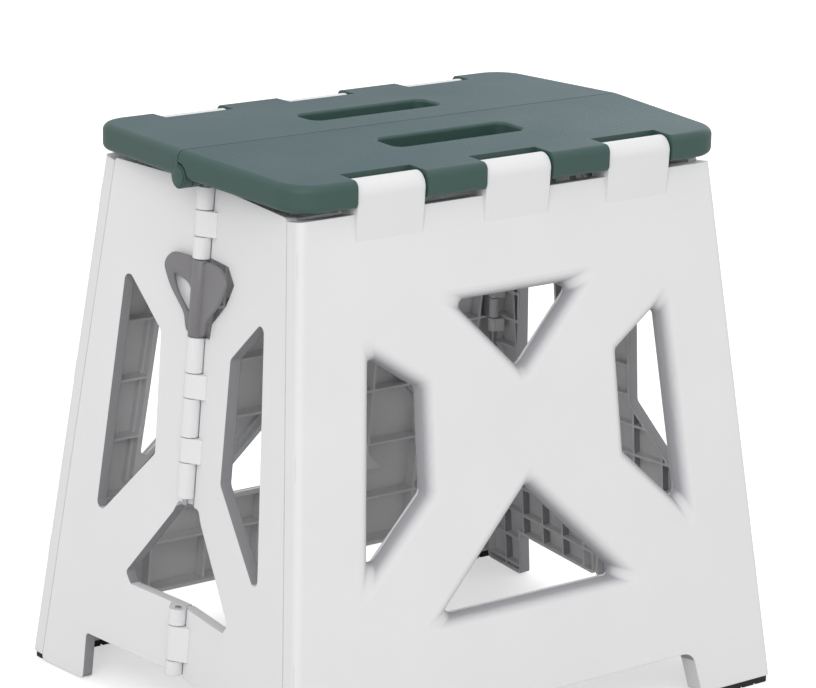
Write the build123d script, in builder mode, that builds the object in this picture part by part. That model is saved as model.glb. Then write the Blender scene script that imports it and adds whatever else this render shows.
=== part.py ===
from build123d import *
import math
import os

os.makedirs("parts", exist_ok=True)

# Overall form, in millimetres. X runs along the long axis, Y from front to back, Z up from the floor.
seat_edge_height = 390.0
base_half_length = 202.0
base_half_depth = 165.5
end_lean = 0.0927
side_lean = 0.1327
leaf_bend_degrees = 6.0

# Leg panels
panel_wall = 3.0
panel_depth = 14.0
panel_top = 367.3
panel_edge_rounding = 5.0
panel_rib = 2.0
panel_rib_depth = 12.0
panel_rib_pitch_x = 46.0
panel_rib_pitch_z = 44.0
arch_half_length = 137.0
arch_narrowing = 6.0
arch_height = 35.0
arch_rounding = 10.0
foot_floor = 5.0

# Foot pads with a groove near each end of the sole
pad_height = 5.0
pad_rounding = 3.0
pad_end_margin = 2.0
pad_face_margin = 1.0
pad_back_overlap = 0.5
pad_groove_width = 2.0
pad_groove_depth = 1.2
pad_groove_pitch = 12.0
pad_grooves = 4

# Panel windows: corners as distance from the middle and height, on the outer face
top_window = [(-72.0, 311.0), (0.0, 239.0), (72.0, 311.0)]
bottom_window = [(-97.0, 91.0), (97.0, 91.0), (0.0, 188.0)]
side_window = [(127.0, 293.0), (72.0, 256.0), (74.0, 179.0), (142.0, 115.0)]
window_corner = 4.0
window_lip_depth = 12.0
window_lip_reach = 9.5
window_lip_sections = 5
window_frame = 3.0
window_frame_step = 7.0

# Seat
seat_half_depth = 123.0
seat_outer_half_length = 174.0
seat_seam_half_length = 183.0
seat_crown = 3.0
seat_rim = 18.0
seat_plate = 4.0
seat_wall = 4.0
seat_corner_rounding = 25.0
seat_top_rounding = 5.0
seat_bottom_rounding = 4.5
seat_seam_gap = 0.8
seat_seam_rounding = 2.5
seat_rib = 2.0
seat_rib_pitch_x = 52.0
seat_rib_pitch_y = 32.0
slot_half_length = 53.0
slot_near = 33.0
slot_far = 60.0
slot_rounding = 7.0
slot_lip = 2.0

# Seat hinges along the long edges
seat_hinge_inset = 11.0
seat_hinge_drop = 10.0
seat_pin_radius = 2.5
seat_knuckle_radius = 9.2
seat_knuckle_length = 52.0
seat_knuckle_pitch = 101.0
seat_notch_gap = 1.2
seat_notch_clearance = 0.8
seat_pin_half_length = 140.0
knuckle_root_height = 350.0
knuckle_pocket_wall = 4.5

# Seat seam pivots
seam_pivot_drop = 14.0
seam_lug_radius = 8.0
seam_lug_length = 6.8
seam_lug_gap = 0.6
seam_pin_radius = 2.0
seam_pin_play = 2.6
seam_relief = 1.6
seam_edge_setback = 0.2
seam_edge_rise = 0.3
seam_pin_setback = 0.5
seam_lug_root = 1.0

# End leaves
leaf_thickness = 8.0
leaf_skin = 2.5
leaf_wall = 2.5
leaf_rib = 2.0
leaf_rib_pitch_u = 27.5
leaf_rib_pitch_v = 22.0
leaf_top = 367.5
leaf_bottom = 35.0
leaf_foot_height = 1.5
leaf_foot_inner = 103.0
leaf_seam_gap = 0.8
leaf_centre_gap = 0.8
leaf_corner = 3.0
leaf_window = [(83.0, 298.0), (42.0, 262.0), (40.0, 178.0), (100.0, 118.0)]
leaf_window_corner = 5.0
leaf_cutout = [(-9.0, 152.6), (12.0, 152.6), (17.0, 144.0), (63.0, 90.0), (57.0, 82.6), (-9.0, 82.6)]
leaf_cutout_corner = 3.5
leaf_foot_draft = 1.0

# Centre barrels of the leaves
barrel_radius = 6.0
barrel_proud = 4.0
barrel_clearance = 0.7
barrel_gap = 0.6
barrel_web_reach = 12.0
barrel_web_inner = 5.82
barrel_web_shoulder = 4.98
barrel_web_overlap = 1.5
centre_pin_radius = 2.0
latch_low = 267.7
latch_high = 319.5
rear_barrels = [
    (352.0, 367.5),
    (319.5, 334.5),
    (243.6, 267.7),
    (200.3, 226.8),
    (158.7, 183.3),
    (71.3, 83.0),
    (36.6, 46.9),
]
front_barrels = [(334.5, 352.0), (226.8, 243.6), (183.3, 200.3), (46.9, 71.3)]
plain_middle = 294.0
upper_pin_low = 154.0
lower_pin_high = 83.5

# Corner hinges
corner_pin_radius = 2.0
corner_lug_radius = 3.9
corner_axis_along = 5.0
corner_axis_depth = 13.0
corner_lugs = [75.0, 205.0, 330.0]
corner_lug_length = 15.0
corner_knuckle_length = 10.0
corner_knuckle_gap = 1.0
corner_lug_root = 1.5
corner_knuckle_root = 1.0
corner_knuckle_spread = 6.24
open_corner_play = 1.7
open_corner_wall = 1.7

# Latch on the left centre barrel
latch_thickness = 2.6
latch_sleeve_radius = 6.5
latch_sleeve_clearance = 0.9
latch_wing = [
    (0.0, 319.0),
    (30.0, 319.0),
    (38.6, 310.0),
    (30.0, 295.0),
    (12.4, 279.0),
    (10.5, 268.6),
    (0.0, 268.6),
]
latch_wing_rounding = 1.5
latch_hole = [(22.5, 301.5), (8.5, 296.5), (8.5, 282.0)]
latch_hole_rounding = 1.2
latch_opening_clearance = 1.2
latch_opening_overrun = 9.0
latch_opening_rounding = 1.0

# Fits shared by every pin
running_clearance = 0.05
collar_height = 0.8
collar_reach = 1.4

# Values that follow from the sizes above
bend = math.tan(math.radians(leaf_bend_degrees))
leaf_lean = end_lean - bend * side_lean
face_stretch = math.sqrt(1.0 + side_lean**2)
leaf_stretch = math.sqrt(1.0 + bend**2)
leaf_rise = math.sqrt(leaf_lean**2 + leaf_stretch**2) / leaf_stretch
centre_half_length = base_half_length - bend * (base_half_depth - panel_depth)
seat_hinge_y = seat_half_depth - seat_hinge_inset
seat_hinge_z = seat_edge_height - seat_hinge_drop
seam_pivot_z = seat_edge_height - seam_pivot_drop
seam_pivot_x = seat_seam_half_length - seam_edge_setback


def half_length(z):
    """Return half the length of the outer faces at a height."""
    return base_half_length - end_lean * z


def half_depth(z):
    """Return half the depth of the outer faces at a height."""
    return base_half_depth - side_lean * z


def seam_y(z):
    """Return the distance of the corner seam from the middle at a height."""
    return half_depth(z) - panel_depth


def panel_plane(side, depth=0.0):
    """Return the plane of a leg panel, moved inward by a depth."""
    face = Plane(origin=(0, side * base_half_depth, 0), x_dir=(-side, 0, 0), z_dir=(0, side, side_lean))
    return face.offset(-depth)


def panel_points(corners):
    """Return corners given by distance and height as points on the panel plane."""
    return [(x, z * face_stretch) for x, z in corners]


def seat_plane(side, depth=0.0):
    """Return the plane of the top of a seat half, moved down by a depth."""
    tilt = side * seat_crown / seat_half_depth
    top = Plane(origin=(0, 0, seat_edge_height + seat_crown), x_dir=(1, 0, 0), z_dir=(0, tilt, 1))
    return top.offset(-depth)


def hand_of(end, side):
    """Return the handedness of a leaf from its end and side."""
    return end * side


def leaf_plane(end, side, depth=0.0):
    """Return the plane of the outer face of a leaf, moved inward by a depth."""
    hand = hand_of(end, side)
    outward = (end, -side * bend, leaf_lean)
    along = (hand * end * bend, hand * side, 0)
    return Plane(origin=(end * centre_half_length, 0, 0), x_dir=along, z_dir=outward).offset(-depth)


def leaf_points(hand, corners):
    """Return corners given by distance from the middle and height as points on the leaf plane."""
    slide = bend * leaf_lean / leaf_stretch
    return [(hand * (leaf_stretch * y - slide * z), leaf_rise * z) for y, z in corners]


def centre_plane(end, z):
    """Return the plane square to a centre barrel at a height."""
    along = centre_half_length + barrel_proud - leaf_lean * z
    return Plane(origin=(end * along, 0, z), x_dir=(0, 1, 0), z_dir=(-end * leaf_lean, 0, 1))


def centre_length(low, high):
    """Return the length along a centre barrel between two heights."""
    return (high - low) * math.sqrt(1.0 + leaf_lean**2)


def corner_plane(end, side, z):
    """Return the plane square to a corner pin at a height, its X toward the middle of the end."""
    inward = Vector(-end * bend, -side, 0).normalized()
    outward = Vector(end, -side * bend, leaf_lean).normalized()
    upward = Vector(-end * end_lean, -side * side_lean, 1)
    seam = Vector(end * base_half_length, side * (base_half_depth - panel_depth), 0)
    origin = seam + inward * corner_axis_along - outward * corner_axis_depth + upward * z
    axis = upward.normalized()
    across = inward - axis * inward.dot(axis)
    return Plane(origin=origin, x_dir=across, z_dir=axis)


def corner_length(low, high):
    """Return the length along a corner pin between two heights."""
    return (high - low) * math.sqrt(1.0 + end_lean**2 + side_lean**2)


def inset(corners, distance):
    """Return a polygon moved inward by a distance, outward when the distance is negative."""
    count = len(corners)
    area = 0.0
    for index, (x, y) in enumerate(corners):
        next_x, next_y = corners[(index + 1) % count]
        area += x * next_y - next_x * y
    turn = 1.0 if area > 0 else -1.0
    moved = []
    for index, (x, y) in enumerate(corners):
        last_x, last_y = corners[index - 1]
        next_x, next_y = corners[(index + 1) % count]
        before = Vector(x - last_x, y - last_y, 0).normalized()
        after = Vector(next_x - x, next_y - y, 0).normalized()
        scale = distance * turn / (1.0 + before.dot(after))
        moved.append((x + scale * (-before.Y - after.Y), y + scale * (before.X + after.X)))
    return moved


def mirrored(corners):
    """Return corners mirrored about the middle."""
    return [(-x, z) for x, z in corners]


def finish(piece, label):
    """Name a finished piece and write it out."""
    piece.part.label = label
    export_step(piece.part, f"parts/{label}.step")


panel_windows = [top_window, bottom_window, side_window, mirrored(side_window)]


def lip_reach(depth):
    """Return how far a window lip has rolled inward at a depth, along a quarter ellipse."""
    return window_lip_reach * math.sqrt(1.0 - (1.0 - depth / window_lip_depth) ** 2)


def window_cutter(side, window):
    """Return the solid cut out for a window: a rolled lip and a straight way through."""
    turns = [0.5 * math.pi * step / window_lip_sections for step in range(window_lip_sections + 1)]
    with BuildPart() as cutter:
        for depth in [window_lip_depth * (1.0 - math.cos(turn)) for turn in turns]:
            with BuildSketch(panel_plane(side, depth)):
                with BuildLine():
                    section = inset(window, lip_reach(depth))
                    FilletPolyline(*panel_points(section), radius=window_corner, close=True)
                make_face()
        loft()
        inner_face = cutter.faces().sort_by(lambda face: -side * face.center().Y)[-1]
        extrude(inner_face, amount=panel_depth)
    return cutter.part


def leg_panel(side, label):
    """Build one leg panel with its feet, windows, seat knuckles and corner lugs."""
    below = -2.0 * pad_height
    outline = [
        (half_length(below), below),
        (half_length(panel_top), panel_top),
        (-half_length(panel_top), panel_top),
        (-half_length(below), below),
    ]
    arch = [
        (arch_half_length + arch_narrowing, 2.0 * below),
        (arch_half_length - arch_narrowing, arch_height),
        (-arch_half_length + arch_narrowing, arch_height),
        (-arch_half_length - arch_narrowing, 2.0 * below),
    ]
    inner_low = pad_height + foot_floor
    inner_high = panel_top - panel_wall
    inner = [
        (half_length(inner_low) - panel_wall, inner_low),
        (half_length(inner_high) - panel_wall, inner_high),
        (-half_length(inner_high) + panel_wall, inner_high),
        (-half_length(inner_low) + panel_wall, inner_low),
    ]
    back_high = 2.0 * panel_top
    back = [
        (half_length(below) - panel_wall, below),
        (half_length(back_high) - panel_wall, back_high),
        (-half_length(back_high) + panel_wall, back_high),
        (-half_length(below) + panel_wall, below),
    ]
    cutters = [window_cutter(side, window) for window in panel_windows]
    with BuildPart() as panel:
        with BuildSketch(panel_plane(side)):
            with BuildLine():
                Polyline(*panel_points(outline), close=True)
            make_face()
        extrude(amount=-panel_depth)
        face = panel_plane(side)
        upright = [
            edge
            for edge in panel.edges()
            if edge.length > panel_top and abs(face.to_local_coords(edge.center()).Z) < panel_wall
        ]
        fillet(upright, panel_edge_rounding)
        # The arch between the feet
        with BuildSketch(panel_plane(side)):
            with BuildLine():
                FilletPolyline(*panel_points(arch), radius=arch_rounding, close=True)
            make_face()
        extrude(amount=-2.0 * panel_depth, mode=Mode.SUBTRACT)
        # The windows, each with a lip that rolls inward
        for cutter in cutters:
            add(cutter, mode=Mode.SUBTRACT)
        # The hollow back: clear of the ribs, then between ribs and frames, then down to the plate
        frame_reach = lip_reach(window_frame_step)
        wall_reach = lip_reach(panel_wall)
        for corners, depth, reach, ribbed, lip in [
            (back, panel_rib_depth, panel_depth, False, 0.0),
            (inner, window_frame_step, panel_rib_depth - window_frame_step, True, frame_reach),
            (inner, panel_wall, window_frame_step - panel_wall, True, wall_reach),
        ]:
            with BuildSketch(panel_plane(side, depth)):
                with BuildLine():
                    Polyline(*panel_points(corners), close=True)
                make_face()
                with BuildLine():
                    FilletPolyline(*panel_points(inset(arch, -panel_wall)), radius=arch_rounding, close=True)
                make_face(mode=Mode.SUBTRACT)
                if ribbed:
                    for window in panel_windows:
                        with BuildLine():
                            Polyline(*panel_points(inset(window, lip - window_frame)), close=True)
                        make_face(mode=Mode.SUBTRACT)
                    with GridLocations(panel_rib_pitch_x, 1.0, 8, 1):
                        Rectangle(panel_rib, 3.0 * panel_top, mode=Mode.SUBTRACT)
                    with Locations((0, 0.5 * panel_top)):
                        with GridLocations(1.0, panel_rib_pitch_z, 1, 8):
                            Rectangle(3.0 * base_half_length, panel_rib, mode=Mode.SUBTRACT)
            extrude(amount=-reach, clean=False, mode=Mode.SUBTRACT)
        # The seat knuckles on the top edge, hollowed from behind
        root = half_depth(knuckle_root_height)
        knuckle_middles = (-seat_knuckle_pitch, 0.0, seat_knuckle_pitch)
        knuckle_planes = [Plane.YZ.offset(middle - 0.5 * seat_knuckle_length) for middle in knuckle_middles]
        with BuildSketch(*knuckle_planes):
            with Locations((side * seat_hinge_y, seat_hinge_z)):
                Circle(seat_knuckle_radius)
            with BuildLine():
                Polyline(
                    (side * (seat_hinge_y + seat_knuckle_radius), seat_hinge_z),
                    (side * root, knuckle_root_height),
                    (side * (root - panel_rib_depth), knuckle_root_height),
                    (side * (seat_hinge_y - seat_knuckle_radius), seat_hinge_z - seat_knuckle_radius),
                    (side * (seat_hinge_y - seat_knuckle_radius), seat_hinge_z),
                    close=True,
                )
            make_face()
        extrude(amount=seat_knuckle_length, clean=False)
        pocket_length = 0.5 * seat_knuckle_length - knuckle_pocket_wall
        pocket_planes = []
        for middle in knuckle_middles:
            for shift in (-0.25, 0.25):
                pocket_start = middle + shift * seat_knuckle_length - 0.5 * pocket_length
                pocket_planes.append(Plane.YZ.offset(pocket_start))
        pocket_top = seat_hinge_z - seat_knuckle_radius - panel_wall
        with BuildSketch(*pocket_planes):
            with BuildLine():
                Polyline(
                    (side * (root - panel_wall), knuckle_root_height + panel_wall),
                    (side * (root - panel_wall), pocket_top),
                    (side * (root - 2 * panel_depth), pocket_top),
                    (side * (root - 2 * panel_depth), knuckle_root_height + panel_wall),
                    close=True,
                )
            make_face()
        extrude(amount=pocket_length, clean=False, mode=Mode.SUBTRACT)
        with BuildSketch(Plane.YZ.offset(-base_half_length)):
            with Locations((side * seat_hinge_y, seat_hinge_z)):
                Circle(seat_pin_radius + running_clearance)
        extrude(amount=2.0 * base_half_length, clean=False, mode=Mode.SUBTRACT)
        # The corner lugs
        reach = corner_axis_along + panel_depth - panel_wall
        for end in (-1, 1):
            hand = hand_of(end, side)
            with BuildSketch(*[corner_plane(end, side, low) for low in corner_lugs]):
                Circle(corner_lug_radius)
                with BuildLine():
                    Polyline(
                        (0, hand * corner_lug_radius),
                        (-corner_axis_along - corner_lug_root, hand * corner_lug_radius),
                        (-corner_axis_along - corner_lug_root, hand * (corner_axis_depth - corner_lug_root)),
                        (-reach, hand * (corner_axis_depth - corner_lug_root)),
                        (-reach, -hand * corner_lug_radius),
                        (0, -hand * corner_lug_radius),
                        close=True,
                    )
                make_face()
            extrude(amount=corner_length(0.0, corner_lug_length), clean=False)
        with BuildSketch(corner_plane(-1, side, 0.0), corner_plane(1, side, 0.0)):
            Circle(corner_pin_radius + running_clearance)
        extrude(amount=corner_length(0.0, panel_top), clean=False, mode=Mode.SUBTRACT)
        # The level soles of the feet
        with BuildSketch(Plane.XY.offset(pad_height)):
            Rectangle(3.0 * base_half_length, 3.0 * base_half_depth)
        extrude(amount=-6.0 * pad_height, clean=False, mode=Mode.SUBTRACT)
    finish(panel, label)


def seat_half(side, lug_start, other_lug_start, lug_bore, label):
    """Build one seat half with its slot, notches, hollow underside and seam lugs."""
    near = 0.5 * seat_seam_gap
    outline = [
        (-seat_seam_half_length, side * near),
        (seat_seam_half_length, side * near),
        (seat_outer_half_length, side * seat_half_depth),
        (-seat_outer_half_length, side * seat_half_depth),
    ]
    notch_depth = seat_hinge_inset + seat_knuckle_radius + seat_notch_clearance
    notch_length = seat_knuckle_length + 2.0 * seat_notch_gap
    inner_far = seat_half_depth - notch_depth - seat_wall
    slant = (seat_seam_half_length - seat_outer_half_length) / seat_half_depth
    inner = [
        (-seat_seam_half_length + seat_wall, side * (near + seat_wall)),
        (seat_seam_half_length - seat_wall, side * (near + seat_wall)),
        (seat_seam_half_length - slant * inner_far - seat_wall, side * inner_far),
        (-seat_seam_half_length + slant * inner_far + seat_wall, side * inner_far),
    ]
    slot_middle = 0.5 * (slot_near + slot_far)
    slot_width = slot_far - slot_near
    tab_inner = 0.5 * (seat_knuckle_pitch - notch_length)
    tab_outer = seat_outer_half_length - seat_corner_rounding - seat_knuckle_pitch - 0.5 * notch_length
    with BuildPart() as half:
        with BuildSketch(seat_plane(side)) as top:
            with BuildLine():
                Polyline(*outline, close=True)
            make_face()
            outer_corners = top.vertices().sort_by(lambda corner: abs(corner.Y))[-2:]
            fillet(outer_corners, seat_corner_rounding)
        extrude(amount=seat_rim, dir=(0, 0, -1))
        top_face = half.faces().sort_by(Axis.Z)[-1]
        top_edges = top_face.edges().sort_by(lambda edge: abs(edge.center().Y))[1:]
        fillet(top_edges, seat_top_rounding)
        bottom_face = half.faces().sort_by(Axis.Z)[0]
        bottom_edges = bottom_face.edges().sort_by(lambda edge: abs(edge.center().Y))[1:]
        fillet(bottom_edges, seat_bottom_rounding)
        # The hand slot and the notches for the seat knuckles
        with BuildSketch(seat_plane(side)):
            with Locations((0, side * slot_middle)):
                RectangleRounded(2.0 * slot_half_length, slot_width, slot_rounding)
        extrude(amount=-2.0 * seat_rim, mode=Mode.SUBTRACT)
        slot_edges = half.faces().sort_by(Axis.Z)[-1].inner_wires()[0].edges()
        fillet(slot_edges, slot_lip)
        with BuildSketch(seat_plane(side, -seat_rim)):
            with Locations((0, side * seat_half_depth)):
                with GridLocations(seat_knuckle_pitch, 1.0, 3, 1):
                    Rectangle(notch_length, 2.0 * notch_depth)
        extrude(amount=-3.0 * seat_rim, mode=Mode.SUBTRACT)
        with BuildSketch(Plane.YZ.offset(-seat_pin_half_length - running_clearance)):
            with Locations((side * seat_hinge_y, seat_hinge_z)):
                Circle(seat_pin_radius + running_clearance)
        extrude(amount=2.0 * (seat_pin_half_length + running_clearance), mode=Mode.SUBTRACT)
        # The bottom edge of the seam, cut back below the pivot
        with BuildSketch(Plane.YZ.offset(-seat_seam_half_length)):
            with BuildLine():
                Polyline(
                    (-side * seat_seam_gap, seam_pivot_z + seam_edge_rise),
                    (side * near, seam_pivot_z + seam_edge_rise),
                    (side * (near + 2.0 * seat_seam_rounding), seam_pivot_z - seat_seam_rounding),
                    (-side * seat_seam_gap, seam_pivot_z - seat_seam_rounding),
                    close=True,
                )
            make_face()
        extrude(amount=2.0 * seat_seam_half_length, mode=Mode.SUBTRACT)
        # The hollow underside with its ribs and the wall of the slot
        with BuildSketch(seat_plane(side, seat_plate)):
            with BuildLine():
                Polyline(*inner, close=True)
            make_face()
            with Locations((0, side * slot_middle)):
                RectangleRounded(
                    2.0 * (slot_half_length + seat_wall),
                    slot_width + 2.0 * seat_wall,
                    slot_rounding + seat_wall,
                    mode=Mode.SUBTRACT,
                )
            with GridLocations(seat_rib_pitch_x, 1.0, 8, 1):
                Rectangle(seat_rib, 4.0 * seat_half_depth, mode=Mode.SUBTRACT)
            with GridLocations(1.0, 2.0 * seat_rib_pitch_y, 1, 4):
                Rectangle(3.0 * seat_seam_half_length, seat_rib, mode=Mode.SUBTRACT)
            # Pockets in the tabs between the notches
            for middle in (-0.5 * seat_knuckle_pitch, 0.5 * seat_knuckle_pitch):
                with Locations((middle, side * seat_hinge_y)):
                    Rectangle(2.0 * tab_inner - 2.0 * seat_wall, notch_depth - 2.0 * seat_wall)
            for end in (-1, 1):
                start = seat_knuckle_pitch + 0.5 * notch_length
                with Locations((end * (start + 0.5 * tab_outer), side * seat_hinge_y)):
                    Rectangle(tab_outer - 2.0 * seat_wall, notch_depth - 2.0 * seat_wall)
        extrude(amount=-seat_rim, clean=False, mode=Mode.SUBTRACT)
        # Relief for the lugs of the other half and for the head of the seam pin, then the lugs of this half
        relief_start = other_lug_start + seam_lug_gap
        relief_length = seam_lug_length + 2.0 * seam_lug_gap
        relief_planes = [Plane.YZ.offset(relief_start - relief_length), Plane.YZ.offset(-relief_start)]
        with BuildSketch(*relief_planes):
            with Locations((0, seam_pivot_z)):
                Circle(seam_lug_radius + seam_relief)
        extrude(amount=relief_length, clean=False, mode=Mode.SUBTRACT)
        head_room = collar_height + 2.0 * seam_lug_gap
        head_start = min(lug_start, other_lug_start) - seam_lug_length + 0.5 * seam_lug_gap
        head_planes = [Plane.YZ.offset(head_start - head_room), Plane.YZ.offset(-head_start)]
        with BuildSketch(*head_planes):
            with Locations((0, seam_pivot_z)):
                Circle(seam_pin_radius + collar_reach + seam_pin_play)
        extrude(amount=head_room, clean=False, mode=Mode.SUBTRACT)
        lug_planes = [Plane.YZ.offset(lug_start - seam_lug_length), Plane.YZ.offset(-lug_start)]
        with BuildSketch(*lug_planes):
            with Locations((0, seam_pivot_z)):
                Circle(seam_lug_radius)
            with BuildLine():
                Polyline(
                    (side * near, seam_pivot_z),
                    (side * near, seat_edge_height - seat_plate + seam_lug_root),
                    (side * (seam_lug_radius + near), seat_edge_height - seat_plate + seam_lug_root),
                    (side * seam_lug_radius, seam_pivot_z),
                    close=True,
                )
            make_face()
        extrude(amount=seam_lug_length, clean=False)
        bore_planes = [Plane.YZ.offset(lug_start - seam_lug_length), Plane.YZ.offset(-lug_start)]
        with BuildSketch(*bore_planes):
            with Locations((0, seam_pivot_z)):
                Circle(lug_bore)
        extrude(amount=seam_lug_length, clean=False, mode=Mode.SUBTRACT)
    finish(half, label)


def barrels_of(end, side):
    """Return the height ranges of the barrels carried by a leaf."""
    if end < 0:
        return rear_barrels if side > 0 else front_barrels
    if side > 0:
        upper = [(plain_middle, rear_barrels[1][1])]
        return [rear_barrels[0]] + upper + rear_barrels[2:]
    return front_barrels + [(latch_low, plain_middle)]


def end_leaf(end, side, corner_play, label):
    """Build one end leaf with its window, ribs, centre barrels and corner knuckles."""
    hand = hand_of(end, side)
    near = 0.5 * leaf_centre_gap
    outline = [
        (near, leaf_top),
        (near, leaf_bottom),
        (leaf_foot_inner - leaf_foot_draft, leaf_bottom),
        (leaf_foot_inner, leaf_foot_height),
        (seam_y(leaf_foot_height) - leaf_seam_gap, leaf_foot_height),
        (seam_y(leaf_top) - leaf_seam_gap, leaf_top),
    ]
    opening_top = (-latch_opening_overrun, latch_wing[0][1])
    opening_foot = (-latch_opening_overrun, latch_wing[-1][1])
    opening = inset([opening_top, *latch_wing[1:-1], opening_foot], -latch_opening_clearance)
    has_opening = end < 0 and side < 0
    with BuildPart() as leaf:
        with BuildSketch(leaf_plane(end, side)):
            with BuildLine():
                FilletPolyline(*leaf_points(hand, outline), radius=leaf_corner, close=True)
            make_face()
            with BuildLine():
                FilletPolyline(*leaf_points(hand, leaf_cutout), radius=leaf_cutout_corner, close=True)
            make_face(mode=Mode.SUBTRACT)
            with BuildLine():
                FilletPolyline(*leaf_points(hand, leaf_window), radius=leaf_window_corner, close=True)
            make_face(mode=Mode.SUBTRACT)
            if has_opening:
                with BuildLine():
                    FilletPolyline(*leaf_points(hand, opening), radius=latch_opening_rounding, close=True)
                make_face(mode=Mode.SUBTRACT)
        extrude(amount=-leaf_thickness)
        # Room for the barrels of the other leaf and for the latch
        bore_low = leaf_bottom - barrel_radius
        bore_high = leaf_top + barrel_radius
        with BuildSketch(centre_plane(end, bore_low)):
            Circle(barrel_radius + barrel_clearance)
        extrude(amount=centre_length(bore_low, bore_high), mode=Mode.SUBTRACT)
        if end < 0:
            with BuildSketch(centre_plane(end, latch_low - barrel_gap)):
                Circle(latch_sleeve_radius + latch_sleeve_clearance)
            extrude(amount=centre_length(latch_low, latch_high + barrel_gap), mode=Mode.SUBTRACT)
        # The barrels of this leaf
        for low, high in barrels_of(end, side):
            start = low + 0.5 * barrel_gap
            stop = high - 0.5 * barrel_gap
            with BuildSketch(centre_plane(end, start)):
                Circle(barrel_radius)
                with BuildLine():
                    Polyline(
                        (side * near, -end * barrel_web_inner),
                        (side * 0.5 * barrel_radius, -end * barrel_web_shoulder),
                        (side * barrel_web_reach, end * 0.5 * barrel_proud),
                        (side * barrel_web_reach, end * (barrel_proud + barrel_web_overlap)),
                        (side * near, end * (barrel_radius + barrel_clearance + barrel_web_overlap)),
                        close=True,
                    )
                make_face()
            extrude(amount=centre_length(start, stop))
        with BuildSketch(centre_plane(end, bore_low)):
            Circle(centre_pin_radius + running_clearance)
        extrude(amount=centre_length(bore_low, bore_high), mode=Mode.SUBTRACT)
        # The hollow inner side, divided by the ribs
        with BuildSketch(leaf_plane(end, side, leaf_skin)):
            with BuildLine():
                Polyline(*inset(leaf_points(hand, outline), leaf_wall), close=True)
            make_face()
            with BuildLine():
                Polyline(*inset(leaf_points(hand, leaf_cutout), -leaf_wall), close=True)
            make_face(mode=Mode.SUBTRACT)
            with BuildLine():
                Polyline(*inset(leaf_points(hand, leaf_window), -leaf_wall), close=True)
            make_face(mode=Mode.SUBTRACT)
            if has_opening:
                with BuildLine():
                    Polyline(*inset(leaf_points(hand, opening), -leaf_wall), close=True)
                make_face(mode=Mode.SUBTRACT)
            with Locations((hand * 0.5 * base_half_depth, 0.5 * leaf_top)):
                with GridLocations(leaf_rib_pitch_u, 1.0, 6, 1):
                    Rectangle(leaf_rib, 2.0 * leaf_top, mode=Mode.SUBTRACT)
                with GridLocations(1.0, leaf_rib_pitch_v, 1, 17):
                    Rectangle(2.0 * base_half_depth, leaf_rib, mode=Mode.SUBTRACT)
        extrude(amount=-leaf_thickness, clean=False, mode=Mode.SUBTRACT)
        # The corner knuckles, one above and one below each lug of the leg panel
        bore = corner_pin_radius + running_clearance + corner_play
        radius = max(corner_lug_radius, bore + open_corner_wall)
        knuckle_planes = []
        for low in corner_lugs:
            knuckle_planes.append(corner_plane(end, side, low - corner_knuckle_gap - corner_knuckle_length))
            knuckle_planes.append(corner_plane(end, side, low + corner_lug_length + corner_knuckle_gap))
        root = corner_axis_depth - leaf_thickness + corner_knuckle_root
        with BuildSketch(*knuckle_planes):
            Circle(radius)
            with BuildLine():
                Polyline(
                    (-corner_lug_radius, 0),
                    (-corner_lug_radius, hand * root),
                    (corner_knuckle_spread, hand * root),
                    (radius, 0),
                    close=True,
                )
            make_face()
        extrude(amount=corner_length(0.0, corner_knuckle_length), clean=False)
        with BuildSketch(corner_plane(end, side, leaf_bottom)):
            Circle(bore)
        extrude(amount=corner_length(leaf_bottom, leaf_top), clean=False, mode=Mode.SUBTRACT)
    finish(leaf, label)


# Leg panels
leg_panel(-1, "front_leg_panel")
leg_panel(1, "rear_leg_panel")

# Seat halves: the rear lugs stand outside the front ones
rear_lug_start = seam_pivot_x
front_lug_start = seam_pivot_x - seam_lug_length - seam_lug_gap
seat_half(-1, front_lug_start, rear_lug_start, seam_pin_radius + running_clearance, "front_seat_half")
seat_half(1, rear_lug_start, front_lug_start, seam_pin_radius + seam_pin_play, "rear_seat_half")

# End leaves
end_leaf(-1, -1, 0.0, "left_front_leaf")
end_leaf(-1, 1, 0.0, "left_rear_leaf")
end_leaf(1, -1, open_corner_play, "right_front_leaf")
end_leaf(1, 1, 0.0, "right_rear_leaf")

# Seat hinge pins, each held by a collar against the outermost knuckle
for side, label in ((-1, "front_seat_pin"), (1, "rear_seat_pin")):
    with BuildPart() as seat_pin:
        with BuildSketch(Plane.YZ.offset(-seat_pin_half_length)):
            with Locations((side * seat_hinge_y, seat_hinge_z)):
                Circle(seat_pin_radius)
        extrude(amount=2.0 * seat_pin_half_length)
        with BuildSketch(Plane.YZ.offset(seat_knuckle_pitch + 0.5 * seat_knuckle_length)):
            with Locations((side * seat_hinge_y, seat_hinge_z)):
                Circle(seat_pin_radius + collar_reach)
        extrude(amount=collar_height)
    finish(seat_pin, label)

# Seam pins, headed against the inner face of the front lugs
for end, label in ((-1, "left_seat_centre_pin"), (1, "right_seat_centre_pin")):
    with BuildPart() as seam_pin:
        head_start = front_lug_start - seam_lug_length
        with BuildSketch(Plane.YZ.offset(end * (rear_lug_start - seam_pin_setback))):
            with Locations((0, seam_pivot_z)):
                Circle(seam_pin_radius)
        extrude(amount=-end * (rear_lug_start - seam_pin_setback - head_start + collar_height))
        with BuildSketch(Plane.YZ.offset(end * head_start)):
            with Locations((0, seam_pivot_z)):
                Circle(seam_pin_radius + collar_reach)
        extrude(amount=-end * collar_height)
    finish(seam_pin, label)

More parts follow.
